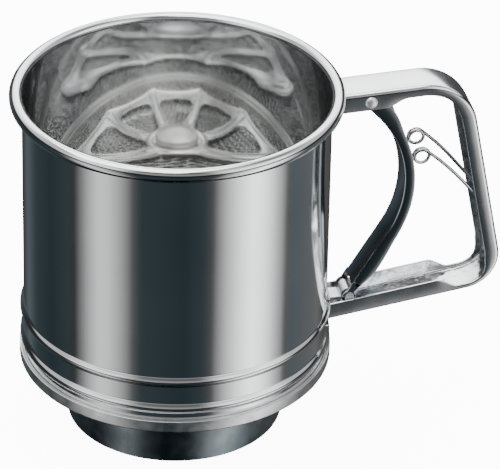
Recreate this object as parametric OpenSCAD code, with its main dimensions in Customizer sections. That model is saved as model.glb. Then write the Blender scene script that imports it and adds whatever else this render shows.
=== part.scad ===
// One-hand flour sifter: a straight-sided steel cup with a trigger in its handle.
// Squeezing the trigger pulls a flat rod, the rod swings a crank under the screen,
// and the crank turns a stamped agitator wheel to and fro on top of the screen.
// Frame: origin on the cup's axis at the underside of the foot, +Z up, handle along +X.

/* [Cup] */
// Outer radius of the cup
body_r = 50; // [44:0.5:62]
// Height from the ground to the top of the rim
body_height = 120; // [100:1:150]
// Thickness of the cup's sheet
body_sheet = 0.6; // [0.4:0.1:0.8]
// Outer radius of the tube rolled at the rim
rim_curl_r = 2.3; // [1.8:0.1:2.8]
// Height of the middle of the upper bead
bead_upper_z = 40; // [38:0.5:48]
// Distance from the upper bead down to the lower bead
bead_spacing = 10; // [9:0.5:13]
// Width of a bead along the wall
bead_width = 3; // [2:0.1:3.6]
// How far a bead stands out of the wall
bead_height = 1.2; // [0.8:0.1:1.4]

/* [Base and foot] */
// Outer radius of the foot collar
foot_r = 35.7; // [28:0.1:43]
// Height of the underside of the base plate above the ground
foot_height = 21.6; // [18:0.2:23]
// Thickness of the base's sheet
base_sheet = 0.6; // [0.4:0.1:0.8]
// How far the seam stands out of the cup's wall
seam_overhang = 1.5; // [1.2:0.1:2.5]
// Height of the seam that joins the cup to the base
seam_height = 4.2; // [3.4:0.1:5]
// Height of the edge folded back inside the foot
hem_height = 2.4; // [1.6:0.1:4]

/* [Screen] */
// Height of the middle of the screen above the upper bead
screen_rise = 2.6; // [2.2:0.1:4]
// Diameter of the screen's wire, and so the thickness of the cloth
wire_d = 0.4; // [0.3:0.05:0.5]
// Thickness of the sheet that the screen's frame and clamp ring are made of
frame_sheet = 0.6; // [0.4:0.1:0.8]
// How far the frame's ledge reaches in from the wall
frame_ledge = 3; // [2:0.2:5]
// Radius of the eyelet's flange at the middle of the screen
eyelet_flange_r = 7; // [5.5:0.1:8]

/* [Agitator] */
// Distance from the middle of the screen up to the wheel's underside
wheel_lift = 1.5; // [1.2:0.1:2.5]
// Radius to the wheel's rounded corners
wheel_r = 38.5; // [30:0.5:42]
// Thickness of the wheel's sheet
wheel_sheet = 0.8; // [0.6:0.1:1]
// Number of arms, which is also the number of the wheel's sides
arm_count = 6; // [5:1:8]
// Width of an arm
arm_width = 5; // [4:0.1:6]
// Direction of the first arm at rest, in degrees from the handle
arm_start = -9.5; // [-30:0.5:30]
// Inner radius of the windows between the arms
window_inner_r = 10.5; // [9:0.1:12]
// Outer radius of the windows between the arms
window_outer_r = 30.5; // [24:0.1:31]
// Height of the pressed ribs
rib_height = 0.8; // [0.4:0.1:1]
// Width of a pressed rib on an arm
arm_rib_width = 1.2; // [0.8:0.1:1.5]
// Radius of the hub cap
cap_r = 7; // [6:0.1:8]
// Height of the hub cap's upright side
cap_side = 2; // [1.5:0.1:3]
// Height of the hub cap's dome over its side
cap_dome = 1.9; // [1:0.1:3]
// Radius of the agitator's shaft
shaft_r = 2.5; // [2:0.1:2.8]

/* [Crank and rod] */
// Distance from the shaft's axis to the crank pin
crank_r = 18; // [15:0.5:24]
// Thickness of the crank's sheet and of the rod
rod_sheet = 1.2; // [1:0.1:1.5]
// Width of the rod
rod_width = 6; // [5:0.1:6.5]
// Distance from the upper bead down to the middle of the rod
rod_drop = 3.4; // [3.2:0.1:4]
// Radius of the crank pin
crank_pin_r = 1.5; // [1:0.1:1.8]
// Distance from the middle of the rod down to the middle of the bridge bar
bridge_drop = 5.2; // [4.8:0.1:7]
// Width of the bridge bar under the screen
bridge_width = 12; // [11:0.5:16]

/* [Handle] */
// Width of the handle's channel
handle_width = 14; // [13:0.5:20]
// Thickness of the handle's sheet
handle_sheet = 0.8; // [0.6:0.1:1]
// Distance from the rim's top down to the handle at the cup
handle_drop = 4.8; // [4.7:0.1:8]
// Slope of the upper arm, in degrees upward
upper_slope = 2.5; // [0:0.1:5]
// Distance from the cup out to the corner of the upper arm and the grip
upper_reach = 45.6; // [42:0.2:56]
// Distance from the cup out to the corner of the lower arm and the grip
lower_reach = 60.6; // [55:0.2:72]
// Height of the handle's underside at the cup above the lower bead
lower_rise = 0.7; // [0.5:0.1:1.5]
// Slope of the lower arm, in degrees upward
lower_slope = 8.4; // [6:0.1:10]
// Outer bend radius where the upper arm meets the grip
upper_bend_r = 18; // [12:0.5:22]
// Outer bend radius where the lower arm meets the grip
lower_bend_r = 12.5; // [10:0.5:16]
// Depth of the handle's flanges beside the trigger
flange_deep = 6.3; // [6:0.1:7]
// Depth of the handle's flanges along the grip
flange_grip = 5; // [4:0.1:6]
// Depth of the handle's flanges where the upper arm narrows
flange_narrow = 3.5; // [2.5:0.1:4]
// Depth of the handle's flanges round the lower bend
flange_bend = 2.2; // [1.5:0.1:4]
// How far a weld tab spreads past the channel on each side
tab_spread = 7; // [4:0.5:10]

/* [Trigger] */
// Width of the trigger's channel
trigger_width = 10.4; // [9.8:0.1:10.8]
// Thickness of the trigger's sheet
trigger_sheet = 0.8; // [0.6:0.1:1]
// Distance from the cup out to the pivot pin
pivot_out = 12.5; // [11:0.5:16]
// Radius of the pivot pin
pivot_pin_r = 1.2; // [1:0.1:1.3]
// Distance from the cup out to the link pin at the trigger's lower end
link_out = 7.8; // [7:0.2:9]
// Radius of the link pin
link_pin_r = 1; // [0.8:0.1:1.2]
// Slope of the trigger's upper stretch, in degrees below level
trigger_upper_slope = 49.4; // [44:0.2:55]
// Slope of the trigger's lower stretch, in degrees below level
trigger_lower_slope = 58.6; // [54:0.2:63]
// Radius of the trigger's belly
trigger_bend_r = 37.4; // [30:0.2:42]
// How far the rod travels when the trigger is squeezed home
rod_travel = 12; // [8:0.5:13]

/* [Spring] */
// Diameter of the spring's wire
spring_wire_d = 1.2; // [0.8:0.1:1.4]
// Mean radius of the spring's coils
coil_r = 2.5; // [2:0.1:3]
// Number of turns in each coil
coil_turns = 1; // [1:1:3]
// How far the spring's far coil stands above its middle, and its near coil below
coil_skew = 1.15; // [0:0.05:1.2]

/* [Fits] */
// Radial clearance of a shaft or pin that turns in its hole
running_gap = 0.05; // [0.02:0.01:0.1]
// Clearance between faces that move past each other
moving_gap = 0.3; // [0.2:0.05:0.5]
// Clearance between curved faces that are fastened together
seat_gap = 0.05; // [0.02:0.01:0.1]

/* [Hidden] */
$fn = 96;

// Cup and base
body_inner_r = body_r - body_sheet;
rim_z = body_height - rim_curl_r;
rim_centre_r = body_inner_r + rim_curl_r + seat_gap;
bead_lower_z = bead_upper_z - bead_spacing;
bead_arc_r = (pow(bead_width / 2, 2) + pow(bead_height, 2)) / (2 * bead_height);
bead_centre_r = body_r + bead_height - bead_arc_r;
base_top = foot_height + base_sheet;
seam_top = foot_height + seam_height;
seam_r = body_r + seam_overhang;
foot_inner_r = foot_r - base_sheet;

// Screen, stacked on the upper bead
screen_z = bead_upper_z + screen_rise;
mesh_bottom = screen_z - wire_d / 2;
mesh_top = screen_z + wire_d / 2;
frame_r = body_inner_r - seat_gap;
frame_bore_r = frame_r - frame_sheet;
mesh_r = frame_bore_r - seat_gap;
ledge_r = frame_r - frame_ledge;
frame_bottom = bead_upper_z - bead_width / 2;
lip_bottom = mesh_top + frame_sheet;
eyelet_bore_r = shaft_r + 0.5;
eyelet_barrel_r = eyelet_bore_r + frame_sheet / 2;

// Crank and rod, stacked under the screen
rod_z = bead_upper_z - rod_drop;
rod_top = rod_z + rod_sheet / 2;
rod_bottom = rod_z - rod_sheet / 2;
crank_bottom = rod_top + 2 * moving_gap;
crank_top = crank_bottom + rod_sheet;
bridge_z = rod_z - bridge_drop;
bridge_bottom = bridge_z - rod_sheet / 2;
bridge_top = bridge_z + rod_sheet / 2;
bush_wall = 1.4;
bush_flange = 0.8;
bush_r = shaft_r + running_gap + bush_wall;
washer_thick = 0.6;
collar_bottom = bridge_top + bush_flange + washer_thick + 2 * moving_gap;
clip_thick = 0.8;
clip_top = bridge_bottom - bush_flange - moving_gap;
shaft_bottom = clip_top - clip_thick - 0.8;
crank_half_swing = asin(rod_travel / 2 / crank_r);
crank_angle = 90 + crank_half_swing;
crank_pin_x = -rod_travel / 2;
crank_pin_y = crank_r * cos(crank_half_swing);
slot_play = 0.12;
slot_low_y = crank_pin_y;
slot_high_y = crank_r;

// Agitator, stacked on the screen
wheel_bottom = screen_z + wheel_lift;
wheel_top = wheel_bottom + wheel_sheet;
cap_sheet = 0.6;
cap_shoulder = wheel_top + cap_side;
cap_sphere_r = (pow(cap_r, 2) + pow(cap_dome, 2)) / (2 * cap_dome);
cap_top = cap_shoulder + cap_dome;

// Handle outline in the X-Z plane: four corners, of which the two in the middle are bent
upper_root = [body_r, body_height - handle_drop];
upper_corner = upper_root + upper_reach * [1, tan(upper_slope)];
lower_root = [body_r, bead_lower_z + lower_rise];
lower_corner = lower_root + lower_reach * [1, tan(lower_slope)];
bend_steps = 8;
handle_step = 4;

// Trigger: pivot under the upper arm, link pin over the rod
pivot_wall = 1.15;
pivot_ear_r = pivot_pin_r + pivot_wall;
pivot = [
    body_r + pivot_out,
    upper_root[1] + pivot_out * tan(upper_slope) - handle_sheet - moving_gap - pivot_ear_r
];
link_ear_r = link_pin_r + 1.4;
link = [body_r + link_out, rod_z + 1.3];
trigger_top = pivot + [-0.5, -3];
trigger_tip = link + [-1.65, 0.6];
trigger_corner = meeting(trigger_top, -trigger_upper_slope, trigger_tip, trigger_lower_slope);
// The belly keeps a straight stretch on each side of it, also in a shorter handle
trigger_arm = min(norm(trigger_top - trigger_corner), norm(trigger_tip - trigger_corner));
belly_share = 0.9;
belly_r = min(trigger_bend_r, belly_share * trigger_arm * tan((trigger_upper_slope + trigger_lower_slope) / 2));
trigger_step = 4;
ear_depth = 5.5;
belly_depth = 3.6;
shank_depth = 4.6;
tip_depth = 2;
web_end = 4.5;
eye_r = link_pin_r + 1.3;
eye_play = 0.35;
link_head = 0.7;
// The trigger's channel and the link pin's heads swing between the handle's flanges
trigger_span = min(
    trigger_width,
    handle_width - 2 * (handle_sheet + link_head + moving_gap)
);

// Spring: two coils behind the trigger, legs to the web of the trigger and of the grip
spring_wire_r = spring_wire_d / 2;
grip_slope = atan2(upper_corner[1] - lower_corner[1], lower_corner[0] - upper_corner[0]);
coil_outer_r = coil_r + spring_wire_r;
coil_inset = 0.2;

// Plane geometry
function unit(v) = v / norm(v);
function left_normal(v) = unit([-v[1], v[0]]);
function reversed(list) = [for (i = [len(list) - 1:-1:0]) list[i]];
// Where the line through a at angle a_deg crosses the line through b at angle b_deg
function meeting(a, a_deg, b, b_deg) =
    let (
        u = [cos(a_deg), sin(a_deg)],
        v = [cos(b_deg), sin(b_deg)],
        t = ((b[0] - a[0]) * v[1] - (b[1] - a[1]) * v[0]) / (u[0] * v[1] - u[1] * v[0])
    )
    a + t * u;
// Points on the arc of radius r that rounds the corner b between a and c
function bend(a, b, c, r, steps) =
    let (
        u = unit(a - b),
        v = unit(c - b),
        half = acos(u * v) / 2,
        centre = b + unit(u + v) * r / sin(half),
        first = b + u * r / tan(half) - centre,
        turn = (u[0] * v[1] - u[1] * v[0] > 0 ? -1 : 1) * (180 - 2 * half),
        start = atan2(first[1], first[0])
    )
    [for (i = [0:steps]) centre + r * [cos(start + turn * i / steps), sin(start + turn * i / steps)]];
// The same path with its long stretches cut into steps
function stepped(path, step) = [
    for (i = [0:len(path) - 2])
        let (pieces = max(1, ceil(norm(path[i + 1] - path[i]) / step)))
        for (k = [0:pieces - 1]) path[i] + (path[i + 1] - path[i]) * k / pieces,
    path[len(path) - 1]
];
// Distance along the path at each of its points
function run_length(path) = [
    for (i = 0, s = 0; i < len(path); s = s + norm(path[min(i + 1, len(path) - 1)] - path[i]), i = i + 1) s
];
// The path moved to its right by a depth for each point
function shifted(path, depths) = [
    for (i = [0:len(path) - 1])
        path[i] - depths[i] * left_normal(path[min(i + 1, len(path) - 1)] - path[max(i - 1, 0)])
];
function same(value, path) = [for (p = path) value];
// Depth of a flange at each point, from a table of [distance along the path, depth]
function depths_from(table, path) = [for (s = run_length(path)) lookup(s, table)];
function plus(list, extra) = [for (v = list) v + extra];

// Handle path from the cup over the grip and back to the cup
handle_path = stepped(
    concat(
        [upper_root],
        bend(upper_root, upper_corner, lower_corner, upper_bend_r, bend_steps),
        bend(upper_corner, lower_corner, lower_root, lower_bend_r, bend_steps),
        [lower_root]
    ),
    handle_step
);
handle_run = run_length(handle_path)[len(handle_path) - 1];
lower_arm = norm(lower_corner - lower_root);
handle_depths = depths_from(
    [
        [0, flange_deep],
        [pivot_out + 4.5, flange_deep],
        [pivot_out + 12.5, flange_narrow],
        [upper_reach - 7, flange_narrow],
        [upper_reach + 8, flange_grip],
        [handle_run - lower_arm - 4, flange_grip],
        [handle_run - lower_arm + 8, flange_bend],
        [handle_run - lower_arm + 16, flange_bend],
        [handle_run - lower_arm + 23, flange_deep - 0.3],
        [handle_run, flange_deep - 0.3]
    ],
    handle_path
);

// Trigger path from the tip up over the belly to the pivot
trigger_path = stepped(
    concat(
        [trigger_tip],
        bend(trigger_tip, trigger_corner, trigger_top, belly_r, bend_steps),
        [trigger_top]
    ),
    trigger_step
);
trigger_run = run_length(trigger_path)[len(trigger_path) - 1];
trigger_depths = depths_from(
    [
        [0, tip_depth],
        [14, shank_depth],
        [30, belly_depth],
        [trigger_run - 18, belly_depth],
        [trigger_run - 6, ear_depth],
        [trigger_run, ear_depth]
    ],
    trigger_path
);

// Spring: one wire from the grip round a coil, over the trigger's web, and back the same way
coil_place = 0.671;
coil_index = round(coil_place * (len(trigger_path) - 1));
coil_centre = shifted(trigger_path, plus(trigger_depths, coil_outer_r + coil_inset))[coil_index];
bar_index = coil_index - 2;
bar_centre = shifted(trigger_path, same(trigger_sheet + spring_wire_r + 0.1, trigger_path))[bar_index];
leg_drop = 21;
leg_end_z = coil_centre[1] - leg_drop;
leg_end = [
    upper_corner[0] + (upper_corner[1] - leg_end_z) / tan(grip_slope)
        - (handle_sheet + spring_wire_r + 0.1) / sin(grip_slope),
    leg_end_z
];
bar_run = bar_centre - coil_centre;
leg_run = leg_end - coil_centre;
coil_start = atan2(leg_run[1], leg_run[0]) + acos(coil_r / norm(leg_run));
coil_finish = atan2(bar_run[1], bar_run[0]) + 360 - acos(coil_r / norm(bar_run));
coil_sweep = coil_finish - coil_start + 360 * coil_turns;
coil_steps = ceil(coil_sweep / 24);
leg_steps = 5;
coil_inner_y = trigger_span / 2 - trigger_sheet - spring_wire_r - 0.2;
coil_outer_y = coil_inner_y + coil_sweep / 360 * spring_wire_d * 1.06;
leg_end_y = handle_width / 2 - handle_sheet - spring_wire_r - 0.2;
leg_skew = coil_skew / 2.3;
wire_sides = 8;

// Points of one half of the spring, from the grip to the trigger's web
function coil_point(a) = coil_centre + coil_r * [cos(a), sin(a)];
function mix(a, b, t) = a + (b - a) * t;
function spring_half(side) = concat(
    [
        for (i = [0:leg_steps - 1])
            let (
                t = i / leg_steps,
                p = leg_end + (coil_point(coil_start) - leg_end) * t
            )
            [p[0], side * mix(leg_end_y, coil_outer_y, t), p[1] + side * mix(leg_skew, coil_skew, t)]
    ],
    [
        for (i = [0:coil_steps])
            let (
                t = i / coil_steps,
                p = coil_point(coil_start + coil_sweep * t)
            )
            [p[0], side * mix(coil_outer_y, coil_inner_y, t), p[1] + side * coil_skew]
    ],
    [[bar_centre[0], side * coil_inner_y, bar_centre[1]]]
);
spring_path = concat(spring_half(-1), reversed(spring_half(1)));

// Direction of a path in space at one of its points
function heading(path, i) = unit(path[min(i + 1, len(path) - 1)] - path[max(i - 1, 0)]);
// A side direction carried along the path without twisting about it
function carried(side, along) = unit(side - (side * along) * along);
function sides_along(path) = [
    for (i = 0, n = carried([0, 1, 0], heading(path, 0)); i < len(path);
        i = i + 1, n = carried(n, heading(path, min(i, len(path) - 1)))) n
];

// A plate cut from a profile in the X-Z plane, centred on Y
module upright(thickness) {
    rotate([90, 0, 0])
        linear_extrude(thickness, center = true)
            children();
}

// A round bar along Y through a place in the X-Z plane
module cross_bar(place, r, length) {
    translate([place[0], 0, place[1]])
        rotate([90, 0, 0])
            cylinder(r = r, h = length, center = true);
}

// A bent sheet channel: a web along the path and two flanges that stand to its right
module channel(path, depths, width, sheet) {
    difference() {
        upright(width)
            polygon(concat(path, reversed(shifted(path, depths))));
        upright(width - 2 * sheet)
            polygon(concat(shifted(path, same(sheet, path)), reversed(shifted(path, plus(depths, 2)))));
    }
}

// The cup's outside, grown by a gap, to cut what is fastened against it
module cup_envelope(gap) {
    rotate_extrude() {
        square([body_r + gap, body_height]);
        for (z = [bead_upper_z, bead_lower_z])
            translate([bead_centre_r, z])
                circle(r = bead_arc_r + gap);
        translate([rim_centre_r, rim_z])
            circle(r = rim_curl_r + gap);
    }
}

// The slot in the cup's wall that the rod slides through
module rod_slot() {
    translate([body_r, 0, rod_z])
        cube([6, rod_width + 2 * moving_gap, rod_sheet + 2 * moving_gap], center = true);
}

module body_shell() {
    curl_slit = 0.5;
    color("silver")
        difference() {
            rotate_extrude()
                difference() {
                    union() {
                        translate([body_inner_r, base_top])
                            square([body_sheet, rim_z - base_top]);
                        translate([body_inner_r, base_top])
                            square([seam_overhang, base_sheet]);
                        for (z = [bead_upper_z, bead_lower_z])
                            intersection() {
                                translate([bead_centre_r, z])
                                    circle(r = bead_arc_r);
                                translate([body_inner_r, z - bead_width])
                                    square([bead_width, 2 * bead_width]);
                            }
                        translate([rim_centre_r, rim_z])
                            circle(r = rim_curl_r);
                    }
                    for (z = [bead_upper_z, bead_lower_z])
                        translate([bead_centre_r, z])
                            circle(r = bead_arc_r - body_sheet);
                    translate([rim_centre_r, rim_z])
                        circle(r = rim_curl_r - body_sheet);
                    translate([body_r, rim_z - rim_curl_r - 1])
                        square([curl_slit, rim_curl_r + 1]);
                }
            rod_slot();
        }
}

module base_funnel() {
    color("gainsboro")
        rotate_extrude() {
            translate([foot_inner_r, 0])
                square([base_sheet, base_top]);
            translate([foot_inner_r - base_sheet - seat_gap, 0])
                square([base_sheet, hem_height]);
            translate([foot_inner_r - base_sheet - seat_gap, 0])
                square([2 * base_sheet, base_sheet]);
            translate([foot_inner_r, foot_height])
                square([seam_r - foot_inner_r, base_sheet]);
            translate([seam_r - base_sheet, foot_height])
                square([base_sheet, seam_height]);
            translate([body_r + seat_gap, seam_top - base_sheet])
                square([seam_r - body_r - seat_gap, base_sheet]);
        }
}

module screen_frame() {
    bump_r = bead_arc_r - body_sheet - 2 * seat_gap;
    color("lightsteelblue")
        rotate_extrude() {
            translate([frame_bore_r, frame_bottom])
                square([frame_sheet, lip_bottom + frame_sheet - frame_bottom]);
            translate([ledge_r, mesh_bottom - frame_sheet])
                square([frame_ledge, frame_sheet]);
            translate([frame_bore_r - frame_sheet, lip_bottom])
                square([2 * frame_sheet, frame_sheet]);
            intersection() {
                translate([bead_centre_r, bead_upper_z])
                    circle(r = bump_r);
                translate([frame_bore_r, frame_bottom])
                    square([bead_width, bead_width]);
            }
        }
}

module screen_clamp_ring() {
    color("slategray")
        translate([0, 0, mesh_top])
            difference() {
                cylinder(r = mesh_r, h = frame_sheet);
                translate([0, 0, -1])
                    cylinder(r = ledge_r, h = frame_sheet + 2);
            }
}

// The woven cloth, as a disc one wire thick
module screen_mesh() {
    color("darkgray")
        translate([0, 0, mesh_bottom])
            difference() {
                cylinder(r = mesh_r, h = wire_d);
                translate([0, 0, -1])
                    cylinder(r = eyelet_barrel_r + seat_gap, h = wire_d + 2);
            }
}

module screen_eyelet() {
    barrel_bottom = mesh_bottom - frame_sheet;
    color("silver")
        difference() {
            union() {
                translate([0, 0, mesh_top])
                    cylinder(r = eyelet_flange_r, h = frame_sheet);
                translate([0, 0, barrel_bottom])
                    cylinder(r = eyelet_barrel_r, h = mesh_top + frame_sheet - barrel_bottom);
            }
            translate([0, 0, barrel_bottom - 1])
                cylinder(r = eyelet_bore_r, h = 6);
        }
}

module eyelet_washer() {
    color("slategray")
        translate([0, 0, mesh_bottom - frame_sheet])
            difference() {
                cylinder(r = eyelet_flange_r, h = frame_sheet);
                translate([0, 0, -1])
                    cylinder(r = eyelet_barrel_r + seat_gap, h = frame_sheet + 2);
            }
}

// A strip across the cup with its ends turned up and welded to the wall
module bridge_bar() {
    end_tab = 5;
    bar_r = body_inner_r - seat_gap;
    color("lightslategray")
        difference() {
            intersection() {
                translate([0, 0, bridge_bottom])
                    cylinder(r = bar_r, h = rod_sheet + end_tab);
                translate([0, 0, bridge_z + end_tab / 2])
                    cube([bridge_width, 4 * body_r, rod_sheet + end_tab], center = true);
            }
            translate([0, 0, bridge_top])
                cylinder(r = bar_r - rod_sheet, h = end_tab + 1);
            translate([0, 0, bridge_bottom - 1])
                cylinder(r = bush_r + seat_gap, h = rod_sheet + 2);
        }
}

module shaft_bush() {
    bush_bottom = bridge_bottom - bush_flange;
    bush_height = rod_sheet + 2 * bush_flange;
    color("goldenrod")
        difference() {
            union() {
                translate([0, 0, bush_bottom])
                    cylinder(r = bush_r, h = bush_height);
                for (z = [bush_bottom, bridge_top])
                    translate([0, 0, z])
                        cylinder(r = bush_r + 1.5, h = bush_flange);
            }
            translate([0, 0, bush_bottom - 1])
                cylinder(r = shaft_r + running_gap, h = bush_height + 2);
        }
}

// A tab that hugs the cup beside the channel, where the handle is welded on
module weld_tab(low_z, high_z) {
    tab_r = body_r + seat_gap;
    intersection() {
        translate([0, 0, low_z])
            difference() {
                cylinder(r = tab_r + handle_sheet, h = high_z - low_z);
                translate([0, 0, -1])
                    cylinder(r = tab_r, h = high_z - low_z + 2);
            }
        for (side = [-1, 1])
            translate([body_r, side * (handle_width - handle_sheet + tab_spread) / 2, (low_z + high_z) / 2])
                cube([body_r / 2, tab_spread + handle_sheet, high_z - low_z + 2], center = true);
    }
}

module handle() {
    tab_low = bead_lower_z + bead_width / 2 + seat_gap;
    tab_high = lower_root[1] + flange_deep - 0.3;
    color("gainsboro")
        difference() {
            union() {
                channel(handle_path, handle_depths, handle_width, handle_sheet);
                weld_tab(tab_low, min(tab_high, bead_upper_z - bead_width / 2 - seat_gap));
                weld_tab(upper_root[1] - flange_deep, upper_root[1] - handle_sheet);
            }
            cup_envelope(seat_gap);
            cross_bar(pivot, pivot_pin_r + seat_gap, handle_width + 2);
        }
}

module trigger_pin() {
    head_r = pivot_pin_r + 0.8;
    head_height = 1.2;
    dome_r = (pow(head_r, 2) + pow(head_height, 2)) / (2 * head_height);
    color("white")
        union() {
            cross_bar(pivot, pivot_pin_r, handle_width + 0.2);
            for (side = [-1, 1])
                translate([pivot[0], side * handle_width / 2, pivot[1]])
                    rotate([-90 * side, 0, 0])
                        intersection() {
                            cylinder(r = head_r, h = head_height);
                            translate([0, 0, head_height - dome_r])
                                sphere(r = dome_r);
                        }
        }
}

// A round wire swept along a path in space
module swept_wire(path, r, sides) {
    normals = sides_along(path);
    rings = len(path);
    points = [
        for (i = [0:rings - 1])
            let (along = heading(path, i), n = normals[i], b = cross(along, n))
            for (k = [0:sides - 1])
                path[i] + r * (cos(360 * k / sides) * n + sin(360 * k / sides) * b)
    ];
    walls = [
        for (i = [0:rings - 2], k = [0:sides - 1])
            [i * sides + k, (i + 1) * sides + k, (i + 1) * sides + (k + 1) % sides, i * sides + (k + 1) % sides]
    ];
    first_end = [for (k = [0:sides - 1]) k];
    last_end = [for (k = [sides - 1:-1:0]) (rings - 1) * sides + k];
    polyhedron(points, concat(walls, [first_end, last_end]));
}

module trigger_spring() {
    color("dimgray")
        swept_wire(spring_path, spring_wire_r, wire_sides);
}

module trigger() {
    color("darkslategray")
        difference() {
            union() {
                channel(trigger_path, trigger_depths, trigger_span, trigger_sheet);
                for (side = [-1, 1])
                    translate([0, side * (trigger_span - trigger_sheet) / 2, 0]) {
                        upright(trigger_sheet)
                            polygon([
                                pivot + [-pivot_ear_r, 0],
                                pivot + [pivot_ear_r, 0],
                                trigger_top + [5.2, -2.6],
                                trigger_top + [0.6, -0.7]
                            ]);
                        cross_bar(pivot, pivot_ear_r, trigger_sheet);
                        cross_bar(link, link_ear_r, trigger_sheet);
                    }
            }
            // The web stops short of the rod's eye
            translate([link[0], 0, link[1] + web_end - 10])
                cube([20, trigger_span - 2 * trigger_sheet, 20], center = true);
            cross_bar(pivot, pivot_pin_r + running_gap, trigger_span + 2);
            cross_bar(link, link_pin_r + seat_gap / 2, trigger_span + 2);
        }
}

module link_pin() {
    color("white")
        union() {
            cross_bar(link, link_pin_r, trigger_span + 0.2);
            for (side = [-1, 1])
                translate([0, side * (trigger_span + link_head) / 2, 0])
                    cross_bar(link, link_pin_r + 0.6, link_head);
        }
}

module pull_rod() {
    straight_x = body_inner_r - rod_travel - moving_gap;
    shoulder = 1.5;
    half = rod_width / 2;
    arm_y = (slot_low_y + slot_high_y) / 2;
    cranked_x = straight_x - 8;
    end_x = crank_pin_x - crank_pin_r - 2.6;
    slot_half = crank_pin_r + slot_play;
    color("lightsteelblue")
        difference() {
            union() {
                translate([0, 0, rod_bottom])
                    linear_extrude(rod_sheet)
                        polygon([
                            [link[0], -half],
                            [link[0], half],
                            [straight_x, half],
                            [straight_x, half + shoulder],
                            [cranked_x, half + shoulder],
                            [-crank_pin_x + 4, arm_y + half],
                            [end_x, arm_y + half],
                            [end_x, arm_y - half],
                            [-crank_pin_x, arm_y - half],
                            [cranked_x - 4, -half - shoulder],
                            [straight_x, -half - shoulder],
                            [straight_x, -half]
                        ]);
                cross_bar(link, eye_r, rod_width);
            }
            // Slot across the rod's inner end, in which the crank pin rides
            translate([crank_pin_x, 0, rod_bottom - 1])
                linear_extrude(rod_sheet + 2) {
                    for (y = [slot_low_y - slot_play, slot_high_y + slot_play])
                        translate([0, y])
                            circle(r = slot_half);
                    translate([-slot_half, slot_low_y - slot_play])
                        square([2 * slot_half, slot_high_y - slot_low_y + 2 * slot_play]);
                }
            // Upright slot for the link pin, which rises and falls a little as it swings
            for (z = [-eye_play, eye_play])
                translate([0, 0, z])
                    cross_bar(link, link_pin_r + slot_play / 2 + running_gap, rod_width + 2);
            translate([link[0], 0, link[1]])
                cube([2 * link_pin_r + slot_play + 2 * running_gap, rod_width + 2, 2 * eye_play], center = true);
        }
}

// The wheel's outline: straight sides, and corners rounded about the hub
module wheel_outline(corner_r) {
    intersection() {
        circle(r = corner_r);
        rotate(arm_start)
            circle(r = corner_r * 1.03, $fn = arm_count);
    }
}

module agitator_wheel() {
    border = 3;
    groove = arm_width / 2 - arm_rib_width / 2;
    color("silver")
        difference() {
            union() {
                translate([0, 0, wheel_bottom])
                    linear_extrude(wheel_sheet)
                        difference() {
                            wheel_outline(wheel_r);
                            difference() {
                                circle(r = window_outer_r);
                                circle(r = window_inner_r);
                                for (i = [0:arm_count - 1])
                                    rotate(arm_start + i * 360 / arm_count)
                                        translate([0, -arm_width / 2])
                                            square([wheel_r, arm_width]);
                            }
                        }
                // Raised border
                translate([0, 0, wheel_bottom])
                    linear_extrude(wheel_sheet + rib_height)
                        difference() {
                            wheel_outline(wheel_r - 0.8);
                            wheel_outline(wheel_r - 0.8 - border);
                        }
                // Two raised ribs along each arm
                for (i = [0:arm_count - 1], side = [-1, 1])
                    rotate(arm_start + i * 360 / arm_count)
                        translate([cap_r + 2.5, side * groove - arm_rib_width / 2, wheel_bottom])
                            cube([window_outer_r - cap_r, arm_rib_width, wheel_sheet + rib_height]);
            }
            translate([0, 0, wheel_bottom - 1])
                cylinder(r = shaft_r + seat_gap / 2, h = wheel_sheet + 2);
        }
}

module hub_cap() {
    color("silver")
        difference() {
            intersection() {
                translate([0, 0, wheel_top])
                    cylinder(r = cap_r, h = cap_top - wheel_top);
                translate([0, 0, cap_top - cap_sphere_r])
                    sphere(r = cap_sphere_r);
            }
            translate([0, 0, wheel_top - 1])
                cylinder(r = cap_r - cap_sheet, h = cap_side + 1 - cap_sheet / 2);
            translate([0, 0, wheel_top - 1])
                cylinder(r = shaft_r + seat_gap / 2, h = cap_side + 2);
        }
}

module agitator_shaft() {
    clip_groove_r = shaft_r - 0.7;
    color("lightgray")
        difference() {
            translate([0, 0, shaft_bottom])
                cylinder(r = shaft_r, h = cap_shoulder + 0.4 - shaft_bottom);
            translate([0, 0, clip_top - clip_thick])
                difference() {
                    cylinder(r = shaft_r + 1, h = clip_thick);
                    translate([0, 0, -1])
                        cylinder(r = clip_groove_r, h = clip_thick + 2);
                }
        }
}

module crank_lever() {
    hub_r = shaft_r + 2;
    pin_boss_r = crank_pin_r + 2;
    color("lightslategray")
        difference() {
            union() {
                translate([0, 0, collar_bottom])
                    cylinder(r = hub_r, h = crank_top - collar_bottom);
                translate([0, 0, crank_bottom])
                    rotate(crank_angle) {
                        translate([0, -pin_boss_r, 0])
                            cube([crank_r, 2 * pin_boss_r, rod_sheet]);
                        translate([crank_r, 0, 0])
                            cylinder(r = pin_boss_r, h = rod_sheet);
                    }
            }
            translate([0, 0, collar_bottom - 1])
                cylinder(r = shaft_r + seat_gap / 2, h = crank_top - collar_bottom + 2);
            rotate(crank_angle)
                translate([crank_r, 0, crank_bottom - 1])
                    cylinder(r = crank_pin_r + seat_gap / 2, h = rod_sheet + 2);
        }
}

module crank_pin() {
    rivet_height = 0.8;
    tail = 0.9;
    pin_bottom = rod_bottom - tail;
    color("white")
        rotate(crank_angle)
            translate([crank_r, 0, 0]) {
                translate([0, 0, pin_bottom])
                    cylinder(r = crank_pin_r, h = crank_top + rivet_height - pin_bottom);
                translate([0, 0, crank_top])
                    cylinder(r = crank_pin_r + 0.9, h = rivet_height);
            }
}

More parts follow.
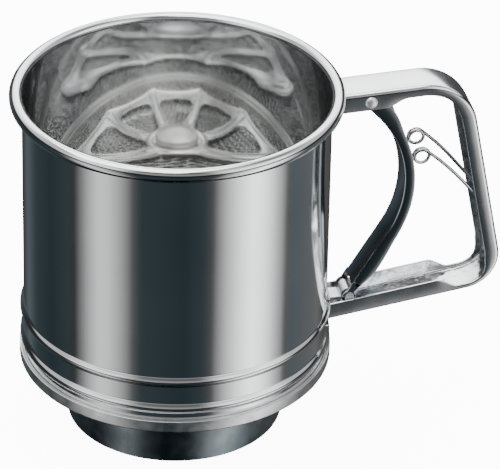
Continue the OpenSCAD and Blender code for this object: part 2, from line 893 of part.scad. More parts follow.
module thrust_washer() {
    color("goldenrod")
        translate([0, 0, collar_bottom - moving_gap - washer_thick])
            difference() {
                cylinder(r = shaft_r + 2.4, h = washer_thick);
                translate([0, 0, -1])
                    cylinder(r = shaft_r + running_gap, h = washer_thick + 2);
            }
}

// A spring clip, open on one side, in the groove at the foot of the shaft
module retaining_clip() {
    clip_bore_r = shaft_r - 0.7 + seat_gap / 2;
    clip_r = shaft_r + 1.9;
    color("dimgray")
        translate([0, 0, clip_top - clip_thick])
            difference() {
                cylinder(r = clip_r, h = clip_thick);
                translate([0, 0, -1])
                    cylinder(r = clip_bore_r, h = clip_thick + 2);
                translate([0, -clip_bore_r * 0.8, -1])
                    cube([clip_r + 1, clip_bore_r * 1.6, clip_thick + 2]);
            }
}

body_shell();
base_funnel();
screen_frame();
screen_clamp_ring();
screen_mesh();
screen_eyelet();
eyelet_washer();
bridge_bar();
shaft_bush();
handle();
trigger_pin();
trigger_spring();
trigger();
link_pin();
pull_rod();
agitator_wheel();
hub_cap();
agitator_shaft();
crank_lever();
crank_pin();
thrust_washer();
retaining_clip();
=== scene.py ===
"""One-hand flour sifter: polished steel cup, channel handle, sprung trigger, agitator and screen.

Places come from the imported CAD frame; a few sheet and wire sizes are repeated from the part, in
millimetres. Every piece is built in metres round the cup's axis, with +X along the handle.
"""
import math

import bmesh
import bpy
from mathutils import Matrix, Vector


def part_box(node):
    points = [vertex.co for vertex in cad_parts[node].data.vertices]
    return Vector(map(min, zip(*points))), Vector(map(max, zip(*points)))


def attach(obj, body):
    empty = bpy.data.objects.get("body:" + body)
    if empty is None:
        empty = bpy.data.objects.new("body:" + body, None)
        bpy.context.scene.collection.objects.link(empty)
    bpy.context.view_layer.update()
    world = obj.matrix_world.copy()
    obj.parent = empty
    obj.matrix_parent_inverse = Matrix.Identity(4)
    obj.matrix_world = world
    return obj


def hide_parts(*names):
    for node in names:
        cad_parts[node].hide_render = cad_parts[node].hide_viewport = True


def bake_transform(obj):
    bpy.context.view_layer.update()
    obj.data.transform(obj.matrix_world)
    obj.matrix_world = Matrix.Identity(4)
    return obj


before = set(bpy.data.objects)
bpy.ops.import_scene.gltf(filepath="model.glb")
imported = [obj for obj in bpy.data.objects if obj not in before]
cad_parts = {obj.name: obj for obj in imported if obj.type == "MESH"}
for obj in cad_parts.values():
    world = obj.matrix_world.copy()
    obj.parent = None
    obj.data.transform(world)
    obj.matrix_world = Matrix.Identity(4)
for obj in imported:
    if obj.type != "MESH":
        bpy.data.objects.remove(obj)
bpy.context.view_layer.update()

MM = 0.001
TAU = 2 * math.pi


# ---------------------------------------------------------------- sizes

def box_of(node):
    """Lowest and highest corners of a CAD node, in millimetres."""
    low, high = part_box(node)
    return Vector(low) / MM, Vector(high) / MM


shell_low, shell_high = box_of("body_shell")
base_high = box_of("base_funnel")[1]
mesh_low, mesh_high = box_of("screen_mesh")
frame_low, frame_high = box_of("screen_frame")
clamp_low, clamp_high = box_of("screen_clamp_ring")
wheel_low = box_of("agitator_wheel")[0]
cap_low, cap_high = box_of("hub_cap")
pin_low, pin_high = box_of("trigger_pin")
link_low, link_high = box_of("link_pin")

BODY_R = 50.0
SHEET = 0.6
BODY_TOP = shell_high.z
CURL_R = 2.3
CURL_CENTRE = (shell_high.x - CURL_R, BODY_TOP - CURL_R)
BEADS = (40.0, 30.0)
BEAD_HEIGHT = 1.2
BEAD_WIDTH = 3.7
SEAT_GAP = 0.05
BASE_TOP = shell_low.z
SEAM_R = base_high.x
SEAM_TOP = base_high.z
FOOT_R = 35.7
HEM_HEIGHT = 2.4
SEAM_HEIGHT = 4.2

SCREEN_Z = (mesh_low.z + mesh_high.z) / 2
SCREEN_TO_ROD = 6.0
FRAME_LEDGE = 3.0
CLAMP_WIDTH = 2.3
MESH_PITCH = 1.9
WIRE_D = 0.42
EYELET_R = 7.0
EYELET_BORE_R = 3.0

WHEEL_R = 38.5
WHEEL_SHEET = 0.8
ARMS = 6
ARM_START = -9.5
ARM_WIDTH = 5.0
WINDOW_INNER_R = 10.5
WINDOW_OUTER_R = 30.5
WHEEL_BORE_R = 2.6
HUB_RIB_R = 8.8
CAP_R = cap_high.x
CAP_SIDE = 2.0

HANDLE_WIDTH = 14.0
HANDLE_SHEET = 0.8
UPPER_ROOT = (BODY_R, BODY_TOP - 4.8)
UPPER_SLOPE = 2.5
UPPER_REACH = 45.6
UPPER_BEND_R = 18.0
LOWER_ROOT = (BODY_R, BEADS[1] + 0.7)
LOWER_SLOPE = 8.4
LOWER_REACH = 60.6
LOWER_BEND_R = 12.5
FLANGE_DEEP = 6.3
FLANGE_GRIP = 5.0
FLANGE_NARROW = 3.5
FLANGE_BEND = 2.2

TRIGGER_WIDTH = 10.4
TRIGGER_SHEET = 0.8
PIVOT = ((pin_low.x + pin_high.x) / 2, (pin_low.z + pin_high.z) / 2)
LINK = ((link_low.x + link_high.x) / 2, (link_low.z + link_high.z) / 2)
TRIGGER_TOP = (PIVOT[0] - 0.5, PIVOT[1] - 3.0)
TRIGGER_TIP = (LINK[0] - 1.65, LINK[1] + 0.6)
TRIGGER_UPPER_SLOPE = 49.4
TRIGGER_LOWER_SLOPE = 58.6
TRIGGER_BEND_R = 37.4
PIN_R = 1.2
EAR_R = 2.35
LINK_EYE_R = 2.4
TIP_DEPTH = 2.0
SHANK_DEPTH = 4.6
BELLY_DEPTH = 3.6
EAR_DEPTH = 5.5

SPRING_WIRE_R = 0.6
COIL_R = 2.5
COIL_FULL_TURNS = 1
COIL_SKEW = 1.15
LEG_SKEW = 0.5


# ---------------------------------------------------------------- plane geometry

def unit(v):
    return v.normalized()


def arc(cx, cy, r, start, finish, steps):
    """Points on an arc; angles in degrees."""
    out = []
    for i in range(steps + 1):
        a = math.radians(start + (finish - start) * i / steps)
        out.append((cx + r * math.cos(a), cy + r * math.sin(a)))
    return out


def bend(a, b, c, r, steps):
    """Points on the arc of radius r that rounds corner b between a and c."""
    a, b, c = Vector(a), Vector(b), Vector(c)
    u, v = unit(a - b), unit(c - b)
    half = u.angle(v) / 2
    centre = b + unit(u + v) * (r / math.sin(half))
    first = b + u * (r / math.tan(half)) - centre
    turn = math.pi - 2 * half
    if u.x * v.y - u.y * v.x > 0:
        turn = -turn
    out = []
    for i in range(steps + 1):
        cos_t, sin_t = math.cos(turn * i / steps), math.sin(turn * i / steps)
        p = Vector((first.x * cos_t - first.y * sin_t, first.x * sin_t + first.y * cos_t))
        out.append(tuple(centre + p))
    return out


def rounded_loop(corners, steps=4):
    """A closed outline from corners (x, y, radius)."""
    out = []
    count = len(corners)
    for i, (x, y, r) in enumerate(corners):
        if r <= 0:
            out.append((x, y))
            continue
        before, after = corners[i - 1], corners[(i + 1) % count]
        out += bend(before[:2], (x, y), after[:2], r, steps)
    return out


def meeting(a, a_deg, b, b_deg):
    """Where the line through a at angle a_deg crosses the line through b at angle b_deg."""
    ux, uy = math.cos(math.radians(a_deg)), math.sin(math.radians(a_deg))
    vx, vy = math.cos(math.radians(b_deg)), math.sin(math.radians(b_deg))
    t = ((b[0] - a[0]) * vy - (b[1] - a[1]) * vx) / (ux * vy - uy * vx)
    return (a[0] + t * ux, a[1] + t * uy)


def stepped(path, step):
    """The same path with its long stretches cut into steps."""
    out = []
    for p, q in zip(path, path[1:]):
        p, q = Vector(p), Vector(q)
        pieces = max(1, math.ceil((q - p).length / step))
        out += [tuple(p + (q - p) * (k / pieces)) for k in range(pieces)]
    out.append(tuple(path[-1]))
    return out


def run_length(path):
    """Distance along the path at each of its points."""
    total, out = 0.0, [0.0]
    for p, q in zip(path, path[1:]):
        total += (Vector(q) - Vector(p)).length
        out.append(total)
    return out


def blended(table, s):
    """Value at s from a table of (distance, value), eased between its rows."""
    if s <= table[0][0]:
        return table[0][1]
    for (s0, v0), (s1, v1) in zip(table, table[1:]):
        if s <= s1:
            t = (s - s0) / (s1 - s0)
            return v0 + (v1 - v0) * t * t * (3 - 2 * t)
    return table[-1][1]


def right_normals(path):
    """Unit normals on the right-hand side of a path in the X-Z plane."""
    out = []
    for i in range(len(path)):
        d = Vector(path[min(i + 1, len(path) - 1)]) - Vector(path[max(i - 1, 0)])
        out.append(unit(Vector((d.y, -d.x))))
    return out


# ---------------------------------------------------------------- mesh building

def new_object(name, verts, faces, sharp=35):
    """A mesh object from points in millimetres."""
    mesh = bpy.data.meshes.new(name)
    mesh.from_pydata([(x * MM, y * MM, z * MM) for x, y, z in verts], [], faces)
    mesh.validate()
    bm = bmesh.new()
    bm.from_mesh(mesh)
    bmesh.ops.recalc_face_normals(bm, faces=bm.faces)
    bm.to_mesh(mesh)
    bm.free()
    mesh.shade_smooth()
    mesh.set_sharp_from_angle(angle=math.radians(sharp))
    obj = bpy.data.objects.new(name, mesh)
    bpy.context.collection.objects.link(obj)
    return obj


def lathe(profile, segments=288):
    """Points and faces of a closed outline (radius, height) turned round the Z axis."""
    verts, faces = [], []
    count = len(profile)
    for k in range(segments):
        a = TAU * k / segments
        verts += [(r * math.cos(a), r * math.sin(a), z) for r, z in profile]
    for k in range(segments):
        here, after = k * count, (k + 1) % segments * count
        for i in range(count):
            j = (i + 1) % count
            faces.append((here + i, after + i, after + j, here + j))
    return verts, faces


def dome(profile, segments=96):
    """Points and faces of an open outline turned round Z, closed at the axis at its two ends."""
    verts, faces = [(0, 0, profile[0][1])], []
    inner = profile[1:-1]
    count = len(inner)
    for k in range(segments):
        a = TAU * k / segments
        verts += [(r * math.cos(a), r * math.sin(a), z) for r, z in inner]
    verts.append((0, 0, profile[-1][1]))
    last = len(verts) - 1
    for k in range(segments):
        here, after = 1 + k * count, 1 + (k + 1) % segments * count
        faces.append((0, after, here))
        for i in range(count - 1):
            faces.append((here + i, after + i, after + i + 1, here + i + 1))
        faces.append((here + count - 1, after + count - 1, last))
    return verts, faces


def tube(path, radius, sides=10, flat=None):
    """Points and faces of a round wire along a path in space; flat = (width, height) makes it oval,
    with its height along Z."""
    pts = [Vector(p) for p in path]
    verts, faces = [], []
    side = None
    for i, p in enumerate(pts):
        along = unit(pts[min(i + 1, len(pts) - 1)] - pts[max(i - 1, 0)])
        if flat:
            side = unit(Vector((0, 0, 1)).cross(along))
        elif side is None:
            side = unit(along.orthogonal())
        else:
            side = unit(side - along * side.dot(along))
        up = along.cross(side)
        a_r, b_r = flat or (radius, radius)
        for k in range(sides):
            a = TAU * k / sides
            verts.append(tuple(p + side * (a_r * math.cos(a)) + up * (b_r * math.sin(a))))
    rings = len(pts)
    for i in range(rings - 1):
        for k in range(sides):
            m = (k + 1) % sides
            faces.append((i * sides + k, i * sides + m, (i + 1) * sides + m, (i + 1) * sides + k))
    faces.append(tuple(reversed(range(sides))))
    faces.append(tuple(range((rings - 1) * sides, rings * sides)))
    return verts, faces


def ring_tube(path, flat, sides=12):
    """An oval bead along a closed path that lies level."""
    pts = [Vector(p) for p in path]
    verts, faces = [], []
    count = len(pts)
    for i, p in enumerate(pts):
        along = unit(pts[(i + 1) % count] - pts[i - 1])
        side = unit(Vector((0, 0, 1)).cross(along))
        for k in range(sides):
            a = TAU * k / sides
            rise = Vector((0, 0, flat[1] * math.sin(a)))
            verts.append(tuple(p + side * (flat[0] * math.cos(a)) + rise))
    for i in range(count):
        j = (i + 1) % count
        for k in range(sides):
            m = (k + 1) % sides
            faces.append((i * sides + k, i * sides + m, j * sides + m, j * sides + k))
    return verts, faces


def merged(*parts):
    """One set of points and faces from several."""
    verts, faces = [], []
    for v, f in parts:
        shift = len(verts)
        verts += list(v)
        faces += [tuple(i + shift for i in face) for face in f]
    return verts, faces


def turned(part, matrix):
    verts, faces = part
    return [tuple(matrix @ Vector(v)) for v in verts], faces


def cut_with_box(obj, low, high):
    """Cuts a box, given in millimetres, out of an object."""
    mesh = bpy.data.meshes.new("cutter")
    bm = bmesh.new()
    bmesh.ops.create_cube(bm, size=1.0)
    size = Vector(high) - Vector(low)
    middle = (Vector(high) + Vector(low)) / 2
    bm.transform(Matrix.Translation(middle * MM) @ Matrix.Diagonal((*(size * MM), 1)))
    bm.to_mesh(mesh)
    bm.free()
    cutter = bpy.data.objects.new("cutter", mesh)
    bpy.context.collection.objects.link(cutter)
    apply_modifier(obj, "BOOLEAN", object=cutter, operation="DIFFERENCE", solver="EXACT")
    bpy.data.objects.remove(cutter)


def apply_modifier(obj, kind, **settings):
    """Adds a modifier, applies it, and keeps the result as the object's mesh."""
    modifier = obj.modifiers.new(kind, kind)
    for key, value in settings.items():
        setattr(modifier, key, value)
    depsgraph = bpy.context.evaluated_depsgraph_get()
    result = bpy.data.meshes.new_from_object(obj.evaluated_get(depsgraph))
    obj.modifiers.clear()
    obj.data = result


def plate(outlines, low_z, thick, bevel):
    """A flat sheet filled from outlines, of which the later ones are holes, with eased edges."""
    curve = bpy.data.curves.new("plate", "CURVE")
    curve.dimensions = "2D"
    curve.fill_mode = "BOTH"
    curve.extrude = (thick / 2 - bevel) * MM
    curve.bevel_depth = bevel * MM
    curve.bevel_resolution = 2
    curve.offset = -bevel * MM
    for outline in outlines:
        spline = curve.splines.new("POLY")
        spline.points.add(len(outline) - 1)
        for point, (x, y) in zip(spline.points, outline):
            point.co = (x * MM, y * MM, 0, 1)
        spline.use_cyclic_u = True
    holder = bpy.data.objects.new("plate", curve)
    bpy.context.collection.objects.link(holder)
    depsgraph = bpy.context.evaluated_depsgraph_get()
    mesh = bpy.data.meshes.new_from_object(holder.evaluated_get(depsgraph))
    verts = [(v.co.x / MM, v.co.y / MM, v.co.z / MM + low_z + thick / 2) for v in mesh.vertices]
    faces = [tuple(p.vertices) for p in mesh.polygons]
    bpy.data.objects.remove(holder)
    return verts, faces


# ---------------------------------------------------------------- cup, base and screen

def bead_out(z):
    """How far the wall stands out at a height, because of its two beads."""
    out = 0.0
    for bead in BEADS:
        t = abs(z - bead) / (BEAD_WIDTH / 2)
        if t < 1:
            out += BEAD_HEIGHT * (1 - t * t) ** 1.35
    return out


def make_cup():
    cx, cz = CURL_CENTRE
    inner_r = BODY_R - SHEET
    join = math.degrees(math.asin((cx - BODY_R) / CURL_R))
    flange_r = SEAM_R - SHEET - SEAT_GAP
    outer = [(flange_r, BASE_TOP), (flange_r, BASE_TOP + SHEET), (BODY_R, BASE_TOP + SHEET)]
    low, high = BEADS[1] - BEAD_WIDTH / 2 - 1, BEADS[0] + BEAD_WIDTH / 2 + 1
    steps = 96
    wall = [low + (high - low) * i / steps for i in range(steps + 1)]
    outer += [(BODY_R + bead_out(z), z) for z in wall]
    outer += [(BODY_R, 60.0), (BODY_R, 80.0), (BODY_R, 100.0)]
    curl = arc(cx, cz, CURL_R, 270 - join, 540, 48)
    inner = [(inner_r, 100.0), (inner_r, 80.0), (inner_r, 60.0)]
    inner += [(inner_r + bead_out(z), z) for z in reversed(wall)]
    profile = outer + curl + inner + [(inner_r, BASE_TOP)]
    cup = new_object("cup", *lathe(profile, 360), sharp=50)
    # The slot that the rod passes through
    slot_half_width, slot_half_height, past_wall = 3.3, 0.9, 3
    rod_z = SCREEN_Z - SCREEN_TO_ROD
    cut_with_box(cup, (BODY_R - past_wall, -slot_half_width, rod_z - slot_half_height),
                 (BODY_R + past_wall, slot_half_width, rod_z + slot_half_height))
    return cup


def make_base():
    t = SHEET
    inner = FOOT_R - t
    corners = [
        (FOOT_R, 0, 0.28),
        (FOOT_R, SEAM_TOP - SEAM_HEIGHT, 0.5),
        (SEAM_R, SEAM_TOP - SEAM_HEIGHT, 0.7),
        (SEAM_R, SEAM_TOP, 0.28),
        (BODY_R + SEAT_GAP, SEAM_TOP, 0.28),
        (BODY_R + SEAT_GAP, SEAM_TOP - t, 0),
        (SEAM_R - t, SEAM_TOP - t, 0),
        (SEAM_R - t, BASE_TOP, 0),
        (inner, BASE_TOP, 0.8),
        (inner, HEM_HEIGHT + 0.5, 0),
        (inner - t, HEM_HEIGHT, 0.25),
        (inner - t, 0, 0.5),
    ]
    loop = rounded_loop(corners, 6)
    return new_object("base", *lathe(loop, 320), sharp=40)


def make_screen_frame():
    outer = BODY_R - SHEET - SEAT_GAP
    t = SHEET
    bottom = frame_low.z
    top = frame_high.z
    corners = [
        (outer - t, bottom, 0.2),
        (outer, bottom, 0.2),
        (outer, top, 0.28),
        (outer - 2 * t, top, 0.28),
        (outer - 2 * t, top - t, 0.25),
        (outer - t, top - t, 0),
        (outer - t, mesh_low.z, 0),
        (outer - FRAME_LEDGE, mesh_low.z, 0.25),
        (outer - FRAME_LEDGE, mesh_low.z - t, 0.25),
        (outer - t, mesh_low.z - t, 0.3),
    ]
    return new_object("screen_rim", *lathe(rounded_loop(corners, 4), 240))


def make_clamp_ring():
    inner, outer = clamp_high.x - CLAMP_WIDTH, clamp_high.x
    low, high = clamp_low.z, clamp_high.z
    corners = [(inner, low, 0.2), (outer, low, 0.2), (outer, high, 0.2), (inner, high, 0.25)]
    return new_object("screen_clamp", *lathe(rounded_loop(corners, 4), 240))


def make_wire_cloth():
    """Plain-weave cloth: each wire passes over and under the wires it crosses."""
    reach = clamp_high.x - 0.4
    hole = EYELET_BORE_R + 0.4
    lift = WIRE_D * 0.46
    parts = []
    rows = int(reach // MESH_PITCH)
    for across in (False, True):
        for row in range(-rows, rows + 1):
            offset = (row + 0.5) * MESH_PITCH
            if abs(offset) >= reach - 0.3:
                continue
            half = math.sqrt(reach ** 2 - offset ** 2)
            spans = [(-half, half)]
            if abs(offset) < hole:
                gap = math.sqrt(hole ** 2 - offset ** 2)
                spans = [(-half, -gap), (gap, half)]
            for start, finish in spans:
                first = math.ceil(start / (MESH_PITCH / 2))
                last = math.floor(finish / (MESH_PITCH / 2))
                stations = [start] + [k * MESH_PITCH / 2 for k in range(first, last + 1)] + [finish]
                path = []
                for s in stations:
                    phase = math.pi * (s / MESH_PITCH - 0.5 + row + int(across))
                    z = SCREEN_Z + lift * math.cos(phase)
                    path.append((offset, s, z) if across else (s, offset, z))
                parts.append(tube(path, WIRE_D / 2, 5))
    turn = Matrix.Rotation(math.radians(20), 4, "Z")
    return new_object("wire_cloth", *turned(merged(*parts), turn), sharp=80)


def make_eyelet():
    low, high = mesh_high.z, mesh_high.z + SHEET
    bore, barrel = EYELET_BORE_R, EYELET_BORE_R + SHEET / 2
    corners = [(bore, mesh_low.z - SHEET, 0), (barrel, mesh_low.z - SHEET, 0), (barrel, low, 0),
               (EYELET_R, low, 0.2), (EYELET_R, high, 0.28), (bore, high, 0.35)]
    return new_object("eyelet", *lathe(rounded_loop(corners, 4), 96))


# ---------------------------------------------------------------- agitator

def polar(r, degrees, *more):
    """A point at a radius and an angle, with any more values after it."""
    return (r * math.cos(math.radians(degrees)), r * math.sin(math.radians(degrees)), *more)


def window_outline(angle):
    """One opening between two arms, with rounded corners."""
    step = 360 / ARMS
    inner_turn = math.degrees(math.asin(ARM_WIDTH / 2 / WINDOW_INNER_R))
    outer_turn = math.degrees(math.asin(ARM_WIDTH / 2 / WINDOW_OUTER_R))
    inner_round, outer_round, crown_round = 1.4, 4.0, 12.0
    return rounded_loop([
        polar(WINDOW_INNER_R, angle + inner_turn, inner_round),
        polar(WINDOW_OUTER_R, angle + outer_turn, outer_round),
        polar(WINDOW_OUTER_R, angle + step / 2, crown_round),
        polar(WINDOW_OUTER_R, angle + step - outer_turn, outer_round),
        polar(WINDOW_INNER_R, angle + step - inner_turn, inner_round),
    ], 8)


def wheel_outline(corner_r, rounding):
    """The wheel's edge: nearly straight sides with rounded corners at the arms."""
    corners = []
    sharp_r = corner_r + rounding * (1 / math.cos(math.radians(180 / ARMS)) - 1)
    for k in range(ARMS):
        a = math.radians(ARM_START + 360 * k / ARMS)
        corners.append((sharp_r * math.cos(a), sharp_r * math.sin(a), rounding))
        b = math.radians(ARM_START + 360 * (k + 0.5) / ARMS)
        side_r = sharp_r * math.cos(math.radians(180 / ARMS)) + 0.9
        corners.append((side_r * math.cos(b), side_r * math.sin(b), 60.0))
    return rounded_loop(corners, 10)


def make_wheel():
    low = wheel_low.z
    top = low + WHEEL_SHEET
    step = 360 / ARMS
    # Half width and half height of each kind of pressed rib
    border_rib, arm_rib, root_rib, hub_rib = (1.0, 0.82), (0.62, 0.78), (1.9, 0.85), (1.3, 0.7)
    outlines = [wheel_outline(WHEEL_R, 5.0)]
    outlines += [window_outline(ARM_START + step * k) for k in range(ARMS)]
    outlines.append(arc(0, 0, WHEEL_BORE_R, 0, 345, 23))
    parts = [plate(outlines, low, WHEEL_SHEET, 0.22)]
    border = [(x, y, top - 0.05) for x, y in wheel_outline(WHEEL_R - 1.6, 4.4)]
    parts.append(ring_tube(border, border_rib))
    rib_offset, rib_flare, flare_start = 1.6, 1.1, 0.75
    for k in range(ARMS):
        turn = Matrix.Rotation(math.radians(ARM_START + step * k), 4, "Z")
        for side in (-1, 1):
            rib = []
            for i in range(25):
                t = i / 24
                x = WINDOW_INNER_R + 0.8 + (WHEEL_R - 5.2 - WINDOW_INNER_R) * t
                flare = rib_flare * max(0.0, (t - flare_start) / (1 - flare_start)) ** 2
                rib.append((x, side * (rib_offset + flare), top - 0.1))
            parts.append(turned(tube(rib, 0, 10, flat=arm_rib), turn))
        root = [(WINDOW_INNER_R + 1.3 + 0.2 * i, 0, top - 0.1) for i in range(-4, 5)]
        parts.append(turned(tube(root, 0, 12, flat=root_rib), turn))
    hub_ring = [(x, y, top - 0.25) for x, y in arc(0, 0, HUB_RIB_R, 0, 355, 71)]
    parts.append(ring_tube(hub_ring, hub_rib))
    return new_object("agitator", *merged(*parts), sharp=40)


def make_hub_cap():
    low, high = cap_low.z, cap_high.z
    shoulder = low + CAP_SIDE
    rise = high - shoulder
    sphere_r = (CAP_R ** 2 + rise ** 2) / (2 * rise)
    edge = 1.0
    reach = math.degrees(math.asin((CAP_R - edge) / sphere_r))
    outside = [(0, low), (CAP_R - 0.3, low), (CAP_R, low + 0.3), (CAP_R, shoulder - edge * 0.5)]
    crown_edge = high - sphere_r + sphere_r * math.cos(math.radians(reach))
    for i in range(1, 6):
        a = math.radians(90 * i / 5)
        outside.append((CAP_R - edge + edge * math.cos(a), shoulder - edge * 0.5
                        + (crown_edge - shoulder + edge * 0.5) * math.sin(a)))
    outside += [
        (sphere_r * math.sin(math.radians(reach * (1 - i / 12))),
         high - sphere_r + sphere_r * math.cos(math.radians(reach * (1 - i / 12))))
        for i in range(1, 12)
    ]
    outside.append((0, high))
    return new_object("hub_button", *dome(outside), sharp=60)


# ---------------------------------------------------------------- handle and trigger

def section_loop(depth, width, sheet, outer_bend):
    """Outline of a bent channel: (distance in from the web's outside, Y), going round once."""
    half = width / 2
    inner_bend = max(outer_bend - sheet, 0.1)
    ease = sheet * 0.32
    corners = [
        (0, -half, outer_bend), (depth, -half, ease), (depth, -half + sheet, ease),
        (sheet, -half + sheet, inner_bend), (sheet, half - sheet, inner_bend),
        (depth, half - sheet, ease), (depth, half, ease), (0, half, outer_bend),
    ]
    return rounded_loop(corners, 4)


def channel(path, depths, width, sheet, outer_bend, first_end=None, last_end=None):
    """A bent sheet channel along a path in the X-Z plane, with its flanges on the right."""
    normals = right_normals(path)
    verts, faces = [], []
    count = 0
    for i, (p, n, depth) in enumerate(zip(path, normals, depths)):
        loop = section_loop(depth, width, sheet, outer_bend)
        count = len(loop)
        ring = [(p[0] + n.x * d, y, p[1] + n.y * d) for d, y in loop]
        if i == 0 and first_end:
            ring = [first_end(*v) for v in ring]
        if i == len(path) - 1 and last_end:
            ring = [last_end(*v) for v in ring]
        verts += ring
    for i in range(len(path) - 1):
        for k in range(count):
            m = (k + 1) % count
            faces.append((i * count + k, i * count + m, (i + 1) * count + m, (i + 1) * count + k))
    # The end caps are strips across the sheet, because a bent outline can't be one flat face
    for base in (0, (len(path) - 1) * count):
        for k in range(count // 2 - 1):
            faces.append((base + k, base + k + 1, base + count - 2 - k, base + count - 1 - k))
    return verts, faces


def on_cup(x, y, z):
    """Moves a point along X onto the cup's wall, beads and all."""
    r = BODY_R + SEAT_GAP + bead_out(z)
    return (math.sqrt(r * r - y * y), y, z)


def weld_tab(low_z, high_z, side, spread=7.0):
    """A flared tab that hugs the wall beside the channel, with a pressed weld spot."""
    start = math.degrees(math.asin((HANDLE_WIDTH / 2 - 1.2) / BODY_R))
    finish = math.degrees(math.asin((HANDLE_WIDTH / 2 + spread) / BODY_R))
    columns, rows = 22, 12
    straight = 0.55
    height = high_z - low_z
    verts, faces = [], []
    for face_r, inset in ((BODY_R + SEAT_GAP, 0.0), (BODY_R + SEAT_GAP + HANDLE_SHEET, 0.12)):
        for i in range(columns + 1):
            t = i / columns
            past = max(0.0, (t - straight) / (1 - straight))
            narrow = 0.4 * height * (1 - math.sqrt(max(0.0, 1 - past ** 2)))
            a = math.radians(side * (start + (finish - start) * t * (1 - inset * 0.05)))
            for j in range(rows + 1):
                z = low_z + narrow + inset + (height - 2 * narrow - 2 * inset) * j / rows
                away = math.hypot((t - 0.6) * spread, z - (low_z + high_z) / 2)
                dent = 0.3 * math.exp(-(away / 1.1) ** 2) if inset else 0.0
                r = face_r - dent
                verts.append((r * math.cos(a), r * math.sin(a), z))
    size = (columns + 1) * (rows + 1)

    def index(layer, i, j):
        return layer * size + i * (rows + 1) + j

    for i in range(columns):
        for j in range(rows):
            for layer in (0, 1):
                faces.append((index(layer, i, j), index(layer, i + 1, j),
                              index(layer, i + 1, j + 1), index(layer, i, j + 1)))
    rim = [(i, 0) for i in range(columns)] + [(columns, j) for j in range(rows)]
    rim += [(i, rows) for i in range(columns, 0, -1)] + [(0, j) for j in range(rows, 0, -1)]
    for (i, j), (k, m) in zip(rim, rim[1:] + rim[:1]):
        faces.append((index(0, i, j), index(0, k, m), index(1, k, m), index(1, i, j)))
    return verts, faces


def handle_line():
    upper_corner = (UPPER_ROOT[0] + UPPER_REACH,
                    UPPER_ROOT[1] + UPPER_REACH * math.tan(math.radians(UPPER_SLOPE)))
    lower_corner = (LOWER_ROOT[0] + LOWER_REACH,
                    LOWER_ROOT[1] + LOWER_REACH * math.tan(math.radians(LOWER_SLOPE)))
    path = [UPPER_ROOT]
    path += bend(UPPER_ROOT, upper_corner, lower_corner, UPPER_BEND_R, 24)
    path += bend(upper_corner, lower_corner, LOWER_ROOT, LOWER_BEND_R, 20)
    path.append(LOWER_ROOT)
    return stepped(path, 1.2), upper_corner, lower_corner


def make_handle():
    path, upper_corner, lower_corner = handle_line()
    run = run_length(path)
    total = run[-1]
    lower_arm = (Vector(lower_corner) - Vector(LOWER_ROOT)).length
    pivot_out = PIVOT[0] - BODY_R
    table = [
        (0, FLANGE_DEEP), (pivot_out + 4.5, FLANGE_DEEP), (pivot_out + 12.5, FLANGE_NARROW),
        (UPPER_REACH - 7, FLANGE_NARROW), (UPPER_REACH + 8, FLANGE_GRIP),
        (total - lower_arm - 4, FLANGE_GRIP), (total - lower_arm + 8, FLANGE_BEND),
        (total - lower_arm + 16, FLANGE_BEND), (total - lower_arm + 23, FLANGE_DEEP - 0.3),
        (total, FLANGE_DEEP - 0.3),
    ]
    depths = [blended(table, s) for s in run]
    parts = [channel(path, depths, HANDLE_WIDTH, HANDLE_SHEET, 1.5, on_cup, on_cup)]
    for side in (-1, 1):
        parts.append(weld_tab(BEADS[1] + 1.55, LOWER_ROOT[1] + FLANGE_DEEP - 0.3, side))
        parts.append(weld_tab(UPPER_ROOT[1] - FLANGE_DEEP, UPPER_ROOT[1] - 0.6, side, 5.0))
    return new_object("handle_channel", *merged(*parts), sharp=50)


def trigger_line():
    corner = meeting(TRIGGER_TOP, -TRIGGER_UPPER_SLOPE, TRIGGER_TIP, TRIGGER_LOWER_SLOPE)
    belly = bend(TRIGGER_TIP, corner, TRIGGER_TOP, TRIGGER_BEND_R, 36)
    return stepped([TRIGGER_TIP] + belly + [TRIGGER_TOP], 1.0)


def trigger_depths(run):
    total = run[-1]
    table = [(0, TIP_DEPTH), (14, SHANK_DEPTH), (30, BELLY_DEPTH), (total - 18, BELLY_DEPTH),
             (total - 6, EAR_DEPTH), (total, EAR_DEPTH)]
    return [blended(table, s) for s in run]


def upright_plate(outline, y, thick):
    """A flat sheet standing in the X-Z plane."""
    verts, faces = plate([outline], -thick / 2, thick, 0.2)
    return [(x, y - z, up) for x, up, z in verts], faces


def make_trigger():
    path = trigger_line()
    run = run_length(path)
    depths = trigger_depths(run)
    web_start = next(i for i, p in enumerate(path) if p[1] > LINK[1] + 4.5)
    parts = [channel(path[web_start:], depths[web_start:], TRIGGER_WIDTH, TRIGGER_SHEET, 1.1)]
    normals = right_normals(path)
    flange_y = (TRIGGER_WIDTH - TRIGGER_SHEET) / 2
    inner, outer = [], []
    for p, n, depth in list(zip(path, normals, depths))[:web_start + 2]:
        outer.append(p)
        inner.append((p[0] + n.x * depth, p[1] + n.y * depth))
    tip = outer + inner[::-1]
    ear = [
        (PIVOT[0] - EAR_R, PIVOT[1]), *arc(*PIVOT, EAR_R, 180, 0, 12)[1:],
        (TRIGGER_TOP[0] + 5.2, TRIGGER_TOP[1] - 2.6), (TRIGGER_TOP[0] + 3.6, TRIGGER_TOP[1] - 4.0),
        (TRIGGER_TOP[0] + 0.6, TRIGGER_TOP[1] - 0.7),
    ]
    # Each is a little thinner than the one before, so that no two faces lie in one plane
    for y in (-flange_y, flange_y):
        parts.append(upright_plate(tip, y, TRIGGER_SHEET))
        parts.append(upright_plate(arc(*LINK, LINK_EYE_R, 0, 345, 23), y, TRIGGER_SHEET - 0.02))
        parts.append(upright_plate(ear, y, TRIGGER_SHEET - 0.04))
    return new_object("trigger_channel", *merged(*parts), sharp=40)


